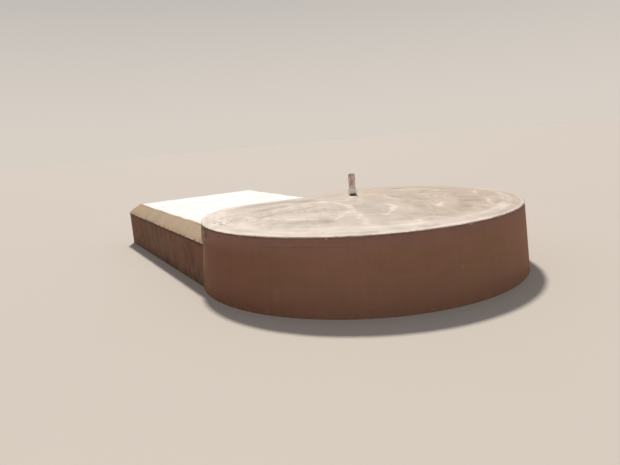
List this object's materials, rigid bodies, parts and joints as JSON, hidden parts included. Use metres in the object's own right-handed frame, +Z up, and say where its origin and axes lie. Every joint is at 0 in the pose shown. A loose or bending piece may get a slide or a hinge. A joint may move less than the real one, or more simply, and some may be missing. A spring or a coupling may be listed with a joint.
{
  "type": "biogas digester",
  "caption": "Low round rendered digester drum with a domed screed top and an upright gas pipe, joined to a rectangular outlet chamber with a flat cover slab and sloping mortar haunches.",
  "frame": {"origin": "middle of the plan's bounding rectangle, on the ground", "axes": "+X to the right along the chamber's far edge, +Y from the drum to the chamber, +Z up"},
  "size_m": [1.85, 2.988, 0.535],
  "materials": {
    "render": "smooth trowelled cement and earth-brown sand render, matt",
    "roof_concrete": "board-marked structural concrete, seen only from below",
    "screed": "pale cement screed with swirling trowel marks",
    "slab_cement": "very pale dry cement slab",
    "haunch_mortar": "grey-buff mortar, wood floated",
    "collar_mortar": "hand-shaped mortar",
    "pvc": "weathered grey pipe"
  },
  "bodies": {
    "root": {"drum_wall_01": "render", "drum_wall_02": "render", "drum_wall_03": "render", "drum_wall_04": "render", "drum_wall_05": "render", "drum_wall_06": "render", "drum_wall_07": "render", "drum_wall_08": "render", "drum_wall_09": "render", "drum_wall_10": "render", "drum_wall_11": "render", "drum_wall_12": "render", "drum_roof_slab": "roof_concrete", "drum_screed": "screed", "gas_pipe": "pvc", "gas_pipe_collar": "collar_mortar", "chamber_wall_left": "render", "chamber_wall_right": "render", "chamber_wall_far": "render", "chamber_slab": "slab_cement", "chamber_haunch_left": "haunch_mortar", "chamber_haunch_right": "haunch_mortar", "chamber_haunch_far": "haunch_mortar"}
  },
  "joints": []
}
